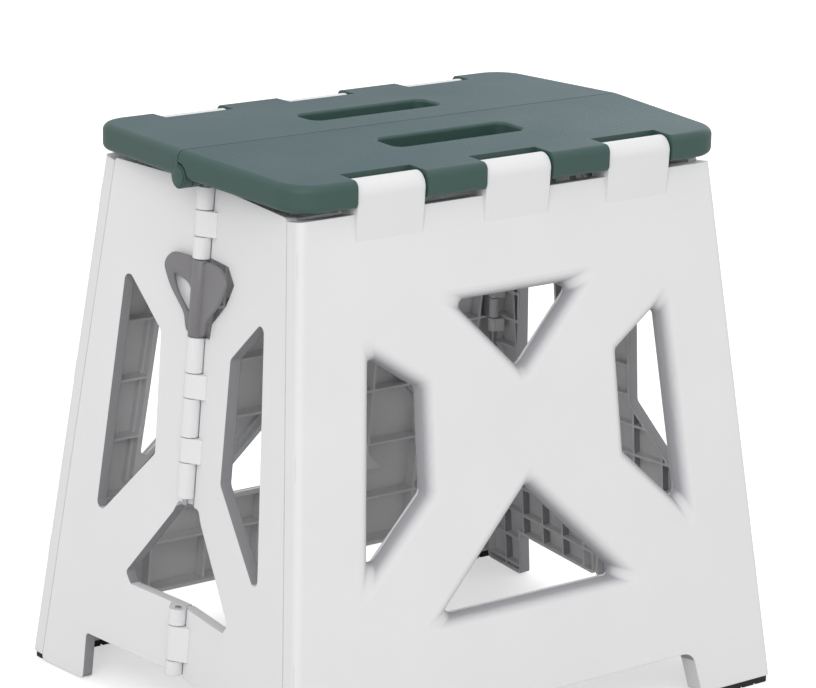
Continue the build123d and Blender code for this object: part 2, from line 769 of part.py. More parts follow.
# Centre pins, the upper ones headed on top and the lower ones headed below
for end, name in ((-1, "left"), (1, "right")):
    upper_top = rear_barrels[0][1] - 0.5 * barrel_gap
    with BuildPart() as upper_pin:
        with BuildSketch(centre_plane(end, upper_pin_low)):
            Circle(centre_pin_radius)
        extrude(amount=centre_length(upper_pin_low, upper_top))
        with BuildSketch(centre_plane(end, upper_top)):
            Circle(centre_pin_radius + collar_reach)
        extrude(amount=collar_height)
    finish(upper_pin, f"{name}_upper_centre_pin")
    lower_bottom = rear_barrels[-1][0] + 0.5 * barrel_gap
    with BuildPart() as lower_pin:
        with BuildSketch(centre_plane(end, lower_bottom)):
            Circle(centre_pin_radius)
        extrude(amount=centre_length(lower_bottom, lower_pin_high))
        with BuildSketch(centre_plane(end, lower_bottom)):
            Circle(centre_pin_radius + collar_reach)
        extrude(amount=-collar_height)
    finish(lower_pin, f"{name}_lower_centre_pin")

# Corner pins, each with a collar on the topmost lug
for end, end_name in ((-1, "left"), (1, "right")):
    for side, side_name in ((-1, "front"), (1, "rear")):
        pin_low = corner_lugs[0] - corner_knuckle_gap - corner_knuckle_length
        collar_low = corner_lugs[-1] + corner_lug_length
        pin_high = collar_low + corner_knuckle_gap + corner_knuckle_length
        with BuildPart() as corner_pin:
            with BuildSketch(corner_plane(end, side, pin_low)):
                Circle(corner_pin_radius)
            extrude(amount=corner_length(pin_low, pin_high))
            with BuildSketch(corner_plane(end, side, collar_low)):
                Circle(corner_pin_radius + collar_reach)
            extrude(amount=collar_height)
        finish(corner_pin, f"{side_name}_{end_name}_corner_pin")

# Foot pads under the four feet, grooved across the sole
for end, end_name in ((-1, "left"), (1, "right")):
    for side, side_name in ((-1, "front"), (1, "rear")):
        pad_inner = arch_half_length + pad_end_margin
        pad_outer = half_length(pad_height) - pad_end_margin
        pad_front = half_depth(pad_height) - pad_face_margin
        pad_back = half_depth(pad_height) - panel_rib_depth + pad_back_overlap
        pad_middle = (end * 0.5 * (pad_inner + pad_outer), side * 0.5 * (pad_front + pad_back))
        with BuildPart() as pad:
            with BuildSketch(Plane.XY):
                with Locations(pad_middle):
                    RectangleRounded(pad_outer - pad_inner, pad_front - pad_back, pad_rounding)
            extrude(amount=pad_height)
            with BuildSketch(Plane.XY):
                with Locations(pad_middle):
                    with GridLocations(pad_groove_pitch, 1.0, pad_grooves, 1):
                        Rectangle(pad_groove_width, 2.0 * panel_depth)
            extrude(amount=pad_groove_depth, mode=Mode.SUBTRACT)
        finish(pad, f"{side_name}_{end_name}_foot_pad")

# The latch: a sleeve on the left upper centre pin, a solid paddle in front and an open loop behind
with BuildPart() as latch:
    with BuildSketch(leaf_plane(-1, -1, -barrel_proud + 0.5 * latch_thickness)):
        with BuildLine():
            FilletPolyline(*leaf_points(1, latch_wing), radius=latch_wing_rounding, close=True)
        make_face()
    extrude(amount=latch_thickness)
    with BuildSketch(leaf_plane(-1, 1, -barrel_proud + 0.5 * latch_thickness)):
        with BuildLine():
            FilletPolyline(*leaf_points(-1, latch_wing), radius=latch_wing_rounding, close=True)
        make_face()
        with BuildLine():
            FilletPolyline(*leaf_points(-1, latch_hole), radius=latch_hole_rounding, close=True)
        make_face(mode=Mode.SUBTRACT)
    extrude(amount=latch_thickness)
    sleeve_low = latch_low - 0.5 * barrel_gap
    sleeve_high = latch_high - 0.5 * barrel_gap
    with BuildSketch(centre_plane(-1, sleeve_low)):
        Circle(latch_sleeve_radius)
    extrude(amount=centre_length(sleeve_low, sleeve_high))
    with BuildSketch(centre_plane(-1, sleeve_low - barrel_gap)):
        Circle(centre_pin_radius + running_clearance)
    extrude(amount=centre_length(sleeve_low, sleeve_high) + 2.0 * barrel_gap, mode=Mode.SUBTRACT)
finish(latch, "side_latch")
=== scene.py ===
"""Dresses the folding stool: moulded plastic finishes, steel pins, rubber pads and a plain studio."""
import logging
import math
from dataclasses import dataclass
from enum import Enum
from typing import Any

import bpy
from mathutils import Matrix, Vector


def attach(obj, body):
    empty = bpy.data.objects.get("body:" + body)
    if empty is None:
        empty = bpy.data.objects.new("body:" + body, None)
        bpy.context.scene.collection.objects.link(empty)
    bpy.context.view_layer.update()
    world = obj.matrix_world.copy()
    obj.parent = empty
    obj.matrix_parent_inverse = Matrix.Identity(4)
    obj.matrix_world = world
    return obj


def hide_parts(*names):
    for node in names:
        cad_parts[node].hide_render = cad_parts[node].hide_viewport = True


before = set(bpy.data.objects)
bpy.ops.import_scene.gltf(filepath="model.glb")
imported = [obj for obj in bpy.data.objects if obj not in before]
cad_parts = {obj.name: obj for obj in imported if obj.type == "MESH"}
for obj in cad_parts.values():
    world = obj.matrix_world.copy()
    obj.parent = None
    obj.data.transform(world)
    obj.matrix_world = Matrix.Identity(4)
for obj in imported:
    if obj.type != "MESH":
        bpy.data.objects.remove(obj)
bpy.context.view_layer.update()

MM = 0.001
IMAGE_WIDTH = 816
WHITE = (1.0, 1.0, 1.0, 1.0)
LOG = logging.getLogger("folding_stool")

# How far an end and a leg panel lean inward for each unit of height
END_LEAN = 0.0927
PANEL_LEAN = 0.1327

# The two colour inputs and the colour output of a mix, by number because their names repeat
MIX_FIRST = 6
MIX_SECOND = 7
MIX_RESULT = 2

Tree = bpy.types.NodeTree
Socket = tuple[bpy.types.Node, Any]
Point = tuple[float, float, float]
Flat = tuple[float, float]
Face = tuple[int, ...]


class Surface(Enum):
    """How a moulded surface was finished in the tool."""

    SATIN = "satin"
    STIPPLED = "stippled"


class End(Enum):
    """The two ends of the stool, as signs along its length."""

    LEFT = -1
    RIGHT = 1


def linear(colour: str) -> tuple[float, float, float, float]:
    """Turn an sRGB hex colour into linear light.

    Args:
        colour: Six hex digits after a hash sign.

    Returns:
        Linear red, green, blue and an alpha of one.
    """
    values = []
    for start in (1, 3, 5):
        level = int(colour[start : start + 2], 16) / 255.0
        values.append(level / 12.92 if level <= 0.04045 else ((level + 0.055) / 1.055) ** 2.4)
    return (values[0], values[1], values[2], 1.0)


def per_metre(size_mm: float) -> float:
    """Return the texture scale of a pattern whose features are a size in millimetres."""
    return 1.0 / (size_mm * MM)


def add_node(tree: Tree, kind: str, settings: dict[str, Any], inputs: dict[Any, Any]) -> bpy.types.Node:
    """Add a node with its settings, constants and links.

    Args:
        tree: The node tree that receives the node.
        kind: Blender's type name of the node.
        settings: Attribute names and values.
        inputs: Input names or numbers, each with a constant or a pair of node and output.

    Returns:
        The new node.
    """
    node = tree.nodes.new(kind)
    for name, value in settings.items():
        setattr(node, name, value)
    for name, value in inputs.items():
        if isinstance(value, tuple) and len(value) == 2 and isinstance(value[0], bpy.types.Node):
            tree.links.new(value[0].outputs[value[1]], node.inputs[name])
        else:
            node.inputs[name].default_value = value
    return node


def new_material(name: str) -> tuple[bpy.types.Material, Tree]:
    """Make a node material that has no nodes yet.

    Args:
        name: Name of the material.

    Returns:
        The material and its node tree.
    """
    material = bpy.data.materials.new(name)
    material.use_nodes = True
    material.node_tree.nodes.clear()
    return material, material.node_tree


@dataclass(frozen=True)
class PaintedWallShade:
    """Painted shade that greys the walls round a white moulding's openings.

    The photograph shows these walls greyer than the broad faces, so painted shade darkens what turns away
    from a face. Level ribs, faces that look back into the hollow and the moulding's outer edges are left
    alone.

    Attributes:
        colour: Colour of the painted shade on the walls.
        face_axis: Axis that the broad faces look along, outward on both sides of the stool.
        span_axis: Axis along the moulding's width.
        span_low_mm: Least distance from the middle that is shaded.
        span_high_mm: Greatest distance from the middle that is shaded, measured at the floor.
        lean: How far the outer edge leans inward for each unit of height.
        top_mm: Height above which nothing is shaded.
        least_outward: Least outward turn of a shaded wall, from minus one to one.
        most_level: Most upward or downward turn of a shaded wall, where more than one sets no limit.
        face_turn: Outward turn at which the shade starts.
        wall_turn: Outward turn at which the shade is full.
    """

    colour: str
    face_axis: str
    span_axis: str
    span_low_mm: float
    span_high_mm: float
    lean: float
    top_mm: float
    least_outward: float
    most_level: float
    face_turn: float = 0.98
    wall_turn: float = 0.45

    def apply(self, tree: Tree, place: bpy.types.Node, colour: Socket) -> Socket:
        """Mix the painted wall shade in.

        Args:
            tree: The material's node tree.
            place: The texture coordinate node.
            colour: Socket of the colour so far.

        Returns:
            The socket of the new colour.
        """
        facing = add_node(tree, "ShaderNodeSeparateXYZ", {}, {"Vector": (place, "Normal")})
        where = add_node(tree, "ShaderNodeSeparateXYZ", {}, {"Vector": (place, "Object")})
        side = add_node(tree, "ShaderNodeMath", {"operation": "SIGN"}, {0: (where, self.face_axis)})
        turn = {0: (side, 0), 1: (facing, self.face_axis)}
        outward = add_node(tree, "ShaderNodeMath", {"operation": "MULTIPLY"}, turn)
        level = add_node(tree, "ShaderNodeMath", {"operation": "ABSOLUTE"}, {0: (facing, "Z")})
        span = add_node(tree, "ShaderNodeMath", {"operation": "ABSOLUTE"}, {0: (where, self.span_axis)})
        # How far from the middle a point would be if it slid down its leaning edge to the floor
        lean = {0: (where, "Z"), 1: self.lean, 2: (span, 0)}
        reach = add_node(tree, "ShaderNodeMath", {"operation": "MULTIPLY_ADD"}, lean)
        away = {"Value": (outward, 0), "From Min": self.face_turn, "From Max": self.wall_turn}
        share = add_node(tree, "ShaderNodeMapRange", {}, away)
        tests = (
            ("GREATER_THAN", (outward, 0), self.least_outward),
            ("LESS_THAN", (level, 0), self.most_level),
            ("GREATER_THAN", (span, 0), self.span_low_mm * MM),
            ("LESS_THAN", (reach, 0), self.span_high_mm * MM),
            ("LESS_THAN", (where, "Z"), self.top_mm * MM),
        )
        for operation, value, limit in tests:
            passed = add_node(tree, "ShaderNodeMath", {"operation": operation}, {0: value, 1: limit})
            both = {0: (share, 0), 1: (passed, 0)}
            share = add_node(tree, "ShaderNodeMath", {"operation": "MULTIPLY"}, both)
        # Painted shade: the wall colour goes in where a wall turns away from its face
        paint = {"Factor": (share, 0), MIX_FIRST: colour, MIX_SECOND: linear(self.colour)}
        return (add_node(tree, "ShaderNodeMix", {"data_type": "RGBA"}, paint), MIX_RESULT)


@dataclass(frozen=True)
class MouldedPlastic:
    """Injection moulded polypropylene, with slow colour drift, tool grain and softened edges.

    The top's painted reflection colour, the stipple and its painted highlight and shade show on a stippled
    surface only.
    """

    name: str
    colour: str
    drift_colour: str
    roughness: float
    surface: Surface = Surface.SATIN
    top_painted_reflection_colour: str = "#000000"
    painted_wall_shade: PaintedWallShade | None = None
    drift_mm: float = 55.0
    drift_detail: float = 3.0
    gloss_below: float = 0.05
    gloss_above: float = 0.06
    grain_mm: float = 0.9
    grain_detail: float = 2.0
    grain_height_mm: float = 0.03
    relief_strength: float = 0.5
    stipple_mm: float = 2.4
    stipple_scatter: float = 0.4
    stipple_edge: float = 0.5
    stipple_tip: float = 0.1
    stipple_height_mm: float = 0.25
    stipple_painted_light: float = 0.09
    upward_start: float = 0.9
    upward_full: float = 0.99
    edge_mm: float = 0.7
    edge_samples: int = 6
    ior: float = 1.49

    def build(self) -> bpy.types.Material:
        """Make the material.

        Returns:
            The finished material.
        """
        material, tree = new_material(self.name)
        place = add_node(tree, "ShaderNodeTexCoord", {}, {})
        # Melt flow leaves a faint, slow change of shade and gloss across a large moulding
        flow = {"Vector": (place, "Object"), "Scale": per_metre(self.drift_mm), "Detail": self.drift_detail}
        drift = add_node(tree, "ShaderNodeTexNoise", {}, flow)
        shades = {MIX_FIRST: linear(self.colour), MIX_SECOND: linear(self.drift_colour)}
        paint = {"Factor": (drift, "Fac"), **shades}
        colour: Socket = (add_node(tree, "ShaderNodeMix", {"data_type": "RGBA"}, paint), MIX_RESULT)
        # Painted shade on the walls of the openings, where the moulding has it
        if self.painted_wall_shade is not None:
            colour = self.painted_wall_shade.apply(tree, place, colour)
        least = self.roughness - self.gloss_below
        most = self.roughness + self.gloss_above
        sheen = {"Value": (drift, "Fac"), "To Min": least, "To Max": most}
        gloss = add_node(tree, "ShaderNodeMapRange", {}, sheen)
        # Tool grain breaks up the reflections: it is finer on a real moulding and is drawn coarser to show
        marks = {"Vector": (place, "Object"), "Scale": per_metre(self.grain_mm), "Detail": self.grain_detail}
        grain = add_node(tree, "ShaderNodeTexNoise", {}, marks)
        # Moulded edges are never sharp: the softened normal draws a fine bright line along them
        edge_radius = {"Radius": self.edge_mm * MM}
        edge = add_node(tree, "ShaderNodeBevel", {"samples": self.edge_samples}, edge_radius)
        relief = {
            "Height": (grain, "Fac"),
            "Distance": self.grain_height_mm * MM,
            "Strength": self.relief_strength,
            "Normal": (edge, "Normal"),
        }
        normal: Socket = (add_node(tree, "ShaderNodeBump", {}, relief), "Normal")
        if self.surface is Surface.STIPPLED:
            colour, normal = self.stipple(tree, place, colour, normal)
        inputs = {"Base Color": colour, "Roughness": (gloss, 0), "IOR": self.ior, "Normal": normal}
        shader = add_node(tree, "ShaderNodeBsdfPrincipled", {}, inputs)
        add_node(tree, "ShaderNodeOutputMaterial", {}, {"Surface": (shader, "BSDF")})
        return material

    def stipple(
        self, tree: Tree, place: bpy.types.Node, colour: Socket, normal: Socket
    ) -> tuple[Socket, Socket]:
        """Add the raised anti-slip dots on faces that look up, with a painted reflection in the top's colour
        and a painted highlight and shade on the dots.

        Args:
            tree: The material's node tree.
            place: The texture coordinate node.
            colour: Socket of the colour so far.
            normal: Socket of the normal so far.

        Returns:
            The sockets of the new colour and normal.
        """
        facing = add_node(tree, "ShaderNodeSeparateXYZ", {}, {"Vector": (place, "Normal")})
        looks_up = {"Value": (facing, "Z"), "From Min": self.upward_start, "From Max": self.upward_full}
        upward = add_node(tree, "ShaderNodeMapRange", {}, looks_up)
        # Anti-slip dots are usually near 1 mm apart and would blur in the picture, so they are drawn coarser
        scatter = {"Scale": per_metre(self.stipple_mm), "Randomness": self.stipple_scatter}
        pattern = {"Vector": (place, "Object"), **scatter}
        dots = add_node(tree, "ShaderNodeTexVoronoi", {"feature": "F1"}, pattern)
        dome = {"Value": (dots, "Distance"), "From Min": self.stipple_edge, "From Max": self.stipple_tip}
        height = add_node(tree, "ShaderNodeMapRange", {}, dome)
        on_top = {0: (height, 0), 1: (upward, 0)}
        raised = add_node(tree, "ShaderNodeMath", {"operation": "MULTIPLY"}, on_top)
        # Painted highlight on the raised tips of the dots and painted shade between them
        shade = {"To Min": 1.0 - self.stipple_painted_light, "To Max": 1.0 + self.stipple_painted_light}
        tips = add_node(tree, "ShaderNodeMapRange", {}, {"Value": (raised, 0), **shade})
        # Painted reflection: faces that look up take a cooler top colour that stands in for the sky they
        # reflect
        paint = {"Factor": (upward, 0), MIX_FIRST: colour, MIX_SECOND: linear(self.top_painted_reflection_colour)}
        top = add_node(tree, "ShaderNodeMix", {"data_type": "RGBA"}, paint)
        light = {"Factor": (upward, 0), MIX_FIRST: (top, MIX_RESULT), MIX_SECOND: (tips, 0)}
        lit = add_node(tree, "ShaderNodeMix", {"data_type": "RGBA", "blend_type": "MULTIPLY"}, light)
        relief = {
            "Height": (raised, 0),
            "Distance": self.stipple_height_mm * MM,
            "Strength": self.relief_strength,
            "Normal": normal,
        }
        bump = add_node(tree, "ShaderNodeBump", {}, relief)
        return (lit, MIX_RESULT), (bump, "Normal")


@dataclass(frozen=True)
class DrawnSteel:
    """Drawn steel wire with fine draw marks."""

    name: str
    colour: str
    roughness: float
    gloss_below: float = 0.08
    gloss_above: float = 0.1
    mark_mm: float = 1.4
    mark_detail: float = 4.0
    mark_depth_mm: float = 0.02
    relief_strength: float = 0.4

    def build(self) -> bpy.types.Material:
        """Make the material.

        Returns:
            The finished material.
        """
        material, tree = new_material(self.name)
        place = add_node(tree, "ShaderNodeTexCoord", {}, {})
        # Real draw marks are much finer than a millimetre, so they are drawn coarser to show
        scratch = {"Vector": (place, "Object"), "Scale": per_metre(self.mark_mm), "Detail": self.mark_detail}
        marks = add_node(tree, "ShaderNodeTexNoise", {}, scratch)
        least = self.roughness - self.gloss_below
        most = self.roughness + self.gloss_above
        sheen = {"Value": (marks, "Fac"), "To Min": least, "To Max": most}
        gloss = add_node(tree, "ShaderNodeMapRange", {}, sheen)
        depth = {"Distance": self.mark_depth_mm * MM, "Strength": self.relief_strength}
        bump = add_node(tree, "ShaderNodeBump", {}, {"Height": (marks, "Fac"), **depth})
        inputs = {
            "Base Color": linear(self.colour),
            "Metallic": 1.0,
            "Roughness": (gloss, 0),
            "Normal": (bump, "Normal"),
        }
        shader = add_node(tree, "ShaderNodeBsdfPrincipled", {}, inputs)
        add_node(tree, "ShaderNodeOutputMaterial", {}, {"Surface": (shader, "BSDF")})
        return material


@dataclass(frozen=True)
class MouldedRubber:
    """Matt moulded rubber with a little dust in its grain."""

    name: str
    colour: str
    dust_colour: str
    roughness: float
    grain_mm: float = 1.2
    grain_detail: float = 4.0
    grain_height_mm: float = 0.12
    relief_strength: float = 0.5
    dust_mm: float = 18.0
    dust_detail: float = 3.0
    dust_start: float = 0.5
    dust_full: float = 0.8
    dust_share: float = 0.5
    ior: float = 1.52

    def build(self) -> bpy.types.Material:
        """Make the material.

        Returns:
            The finished material.
        """
        material, tree = new_material(self.name)
        place = add_node(tree, "ShaderNodeTexCoord", {}, {})
        # The grain of moulded rubber is finer than this, so it is drawn coarser to show
        marks = {"Vector": (place, "Object"), "Scale": per_metre(self.grain_mm), "Detail": self.grain_detail}
        grain = add_node(tree, "ShaderNodeTexNoise", {}, marks)
        cloud = {"Vector": (place, "Object"), "Scale": per_metre(self.dust_mm), "Detail": self.dust_detail}
        dust = add_node(tree, "ShaderNodeTexNoise", {}, cloud)
        settled = {"From Min": self.dust_start, "From Max": self.dust_full, "To Max": self.dust_share}
        patch = add_node(tree, "ShaderNodeMapRange", {}, {"Value": (dust, "Fac"), **settled})
        shades = {MIX_FIRST: linear(self.colour), MIX_SECOND: linear(self.dust_colour)}
        shade = add_node(tree, "ShaderNodeMix", {"data_type": "RGBA"}, {"Factor": (patch, 0), **shades})
        depth = {"Distance": self.grain_height_mm * MM, "Strength": self.relief_strength}
        bump = add_node(tree, "ShaderNodeBump", {}, {"Height": (grain, "Fac"), **depth})
        inputs = {
            "Base Color": (shade, MIX_RESULT),
            "Roughness": self.roughness,
            "IOR": self.ior,
            "Normal": (bump, "Normal"),
        }
        shader = add_node(tree, "ShaderNodeBsdfPrincipled", {}, inputs)
        add_node(tree, "ShaderNodeOutputMaterial", {}, {"Surface": (shader, "BSDF")})
        return material


# White polypropylene from a satin tool: even, milky and softly glossy, with painted shade that grades the
# lips to grey
PANEL_FINISH = MouldedPlastic(
    name="white_polypropylene_moulded_panel",
    colour="#e6e6e7",
    drift_colour="#e1e1e2",
    roughness=0.42,
    painted_wall_shade=PaintedWallShade(
        colour="#a4a4a8",
        face_axis="Y",
        span_axis="X",
        span_low_mm=0.0,
        span_high_mm=186.0,
        lean=END_LEAN,
        top_mm=335.0,
        least_outward=0.05,
        most_level=1.1,
    ),
)
# The same plastic on the end leaves, whose window walls are steep and take a darker painted shade
LEAF_FINISH = MouldedPlastic(
    name="white_polypropylene_moulded_leaf",
    colour="#e8e8e9",
    drift_colour="#e3e3e4",
    roughness=0.42,
    painted_wall_shade=PaintedWallShade(
        colour="#9b999d",
        face_axis="X",
        span_axis="Y",
        span_low_mm=14.5,
        span_high_mm=140.0,
        lean=PANEL_LEAN,
        top_mm=345.0,
        least_outward=-0.3,
        most_level=0.92,
    ),
)
# Grey green polypropylene: the rim is deep green, and the stippled top takes a pale sheen at a low angle,
# with a painted bluish reflection in its top colour
SEAT_FINISH = MouldedPlastic(
    name="grey_green_polypropylene_stippled",
    colour="#35504a",
    drift_colour="#39544e",
    roughness=0.5,
    surface=Surface.STIPPLED,
    top_painted_reflection_colour="#2d5056",
)
# Mid grey polypropylene of the latch, a little glossier than the body
LATCH_FINISH = MouldedPlastic(
    name="mid_grey_polypropylene_moulded",
    colour="#7e7c7f",
    drift_colour="#787679",
    roughness=0.38,
)
# Drawn steel of the hinge pins: bright, with a slightly uneven gloss
PIN_FINISH = DrawnSteel(name="drawn_steel_wire", colour="#b6b8ba", roughness=0.32)
# Black moulded rubber of the foot pads: dark and matt, with a little dust
PAD_FINISH = MouldedRubber(
    name="black_rubber_moulded",
    colour="#1d1d1e",
    dust_colour="#3a3937",
    roughness=0.75,
)


def dress(node_name: str, material: bpy.types.Material) -> None:
    """Give a carried-over node its finish.

    Args:
        node_name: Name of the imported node.
        material: The finish to assign.
    """
    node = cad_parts[node_name]
    node.data.materials.clear()
    node.data.materials.append(material)
    LOG.info("dressed %s in %s", node_name, material.name)


def new_piece(
    name: str, points: list[Any], faces: list[Face], material: bpy.types.Material
) -> bpy.types.Object:
    """Make a piece from points and faces, with smooth shading on its four-sided faces.

    Args:
        name: Name of the piece and of its mesh.
        points: Points in metres.
        faces: Faces as numbers of points.
        material: The finish to assign.

    Returns:
        The new piece.
    """
    mesh = bpy.data.meshes.new(name)
    mesh.from_pydata(points, [], faces)
    mesh.polygons.foreach_set("use_smooth", [len(face) == 4 for face in faces])
    mesh.materials.append(material)
    piece = bpy.data.objects.new(name, mesh)
    bpy.context.scene.collection.objects.link(piece)
    return piece


def skin(first: int, rings: int, steps: int, closed: bool, flipped: bool) -> list[Face]:
    """Join rings of points with four-sided faces.

    Args:
        first: Number of the first point of the first ring.
        rings: Number of rings.
        steps: Number of points in each ring.
        closed: Whether the last ring joins the first one.
        flipped: Whether the faces look the other way.

    Returns:
        The faces.
    """
    faces = []
    for ring in range(rings if closed else rings - 1):
        low = first + ring * steps
        high = first + (ring + 1) % rings * steps
        for step in range(steps):
            after = (step + 1) % steps
            face = (low + step, low + after, high + after, high + step)
            faces.append(face[::-1] if flipped else face)
    return faces


def lids(first: int, rings: int, steps: int, flipped: bool) -> list[Face]:
    """Close the first and last of a row of rings.

    Args:
        first: Number of the first point of the first ring.
        rings: Number of rings.
        steps: Number of points in each ring.
        flipped: Whether the faces look the other way.

    Returns:
        The two faces.
    """
    last = first + (rings - 1) * steps
    base = tuple(range(first, first + steps))
    crown = tuple(range(last, last + steps))
    return [base, crown[::-1]] if flipped else [base[::-1], crown]


def rounded(
    corners: tuple[Flat, ...], setback: float, steps: int = 8, most_share: float = 0.45
) -> list[Flat]:
    """Round the corners of an outline.

    Args:
        corners: Corners of the closed outline.
        setback: How far before and after a corner its curve starts and ends.
        steps: Number of steps along each curve.
        most_share: The most that a curve takes of the side beside it.

    Returns:
        Points of the rounded outline.
    """
    outline = []
    for number, corner in enumerate(corners):
        middle = Vector(corner)
        before = Vector(corners[number - 1]) - middle
        after = Vector(corners[(number + 1) % len(corners)]) - middle
        reach = min(setback, most_share * before.length, most_share * after.length)
        begin = middle + before.normalized() * reach
        finish = middle + after.normalized() * reach
        for step in range(steps + 1):
            share = step / steps
            point = begin * (1 - share) ** 2 + middle * 2 * share * (1 - share) + finish * share**2
            outline.append((point.x, point.y))
    return outline


def polar(outline: list[Flat], middle: Flat, rays: int, parallel: float = 1e-9) -> list[Flat]:
    """Measure an outline along even rays from a point inside it.

    Args:
        outline: Points of the closed outline.
        middle: The point that the rays start from.
        rays: Number of rays.
        parallel: Slope below which a side counts as parallel to a ray and is passed over.

    Returns:
        The farthest point of the outline on each ray.
    """
    found = []
    for ray in range(rays):
        angle = 2.0 * math.pi * ray / rays
        along = Vector((math.cos(angle), math.sin(angle)))
        farthest = 0.0
        for number, second in enumerate(outline):
            begin = Vector(outline[number - 1]) - Vector(middle)
            edge = Vector(second) - Vector(outline[number - 1])
            slope = along.x * edge.y - along.y * edge.x
            if abs(slope) < parallel:
                continue
            share = (begin.y * along.x - begin.x * along.y) / -slope
            reach = (begin.x * edge.y - begin.y * edge.x) / slope
            if 0.0 <= share <= 1.0:
                farthest = max(farthest, reach)
        found.append((middle[0] + along.x * farthest, middle[1] + along.y * farthest))
    return found


def shrunk(outline: list[Flat], middle: Flat, inset: float) -> list[Flat]:
    """Draw an outline in toward a point, or out from it with a negative inset.

    Args:
        outline: Points of the outline.
        middle: The point that the outline moves toward.
        inset: How far each point moves.

    Returns:
        The moved points.
    """
    moved = []
    for point in outline:
        away = Vector(point) - Vector(middle)
        near = Vector(middle) + away.normalized() * (away.length - inset)
        moved.append((near.x, near.y))
    return moved


@dataclass
class LegFrame:
    """The two leg panels with their windows, feet and seat knuckles."""

    panels: tuple[str, ...] = ("front_leg_panel", "rear_leg_panel")
    finish: MouldedPlastic = PANEL_FINISH

    def build(self) -> None:
        """Dress the panels."""
        material = self.finish.build()
        for name in self.panels:
            dress(name, material)


@dataclass
class EndLeaves:
    """The folding leaves that close the two ends."""

    leaves: tuple[str, ...] = ("left_front_leaf", "left_rear_leaf", "right_front_leaf", "right_rear_leaf")
    finish: MouldedPlastic = LEAF_FINISH

    def build(self) -> None:
        """Dress the leaves."""
        material = self.finish.build()
        for name in self.leaves:
            dress(name, material)


@dataclass
class SplitSeat:
    """The two seat halves and the domed caps on their seam lugs."""

    halves: tuple[str, ...] = ("front_seat_half", "rear_seat_half")
    finish: MouldedPlastic = SEAT_FINISH
    cap_body: str = "rear_seat"
    cap_slot: str = "seat_plastic"
    cap_x: float = 182.8 * MM
    cap_z: float = 376.0 * MM
    cap_radius: float = 6.6 * MM
    cap_rim: float = 0.3 * MM
    cap_reach: float = 1.1 * MM
    cap_rings: int = 6
    cap_steps: int = 40

    def build(self) -> None:
        """Dress the halves and close the seam lugs."""
        material = self.finish.build()
        for name in self.halves:
            dress(name, material)
        for end in End:
            self.lug_cap(end, material)

    def lug_cap(self, end: End, material: bpy.types.Material) -> None:
        """Make the domed cap that hides the end of a seam pin.

        Args:
            end: The end of the stool it sits at.
            material: The seat finish.
        """
        profile = [(self.cap_radius, 0.0)]
        for ring in range(self.cap_rings):
            angle = 0.5 * math.pi * ring / self.cap_rings
            reach = self.cap_rim + self.cap_reach * math.sin(angle)
            profile.append((self.cap_radius * math.cos(angle), reach))
        points = []
        for radius, reach in profile:
            for step in range(self.cap_steps):
                angle = 2.0 * math.pi * step / self.cap_steps
                points.append((end.value * reach, radius * math.cos(angle), radius * math.sin(angle)))
        flipped = end is End.LEFT
        faces = skin(0, len(profile), self.cap_steps, closed=False, flipped=flipped)
        faces += lids(0, len(profile), self.cap_steps, flipped)
        cap = new_piece(f"{end.name.lower()}_seam_lug_cap", points, faces, material)
        cap.location = (end.value * self.cap_x, 0.0, self.cap_z)
        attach(cap, self.cap_body)
        LOG.info("built %s", cap.name)


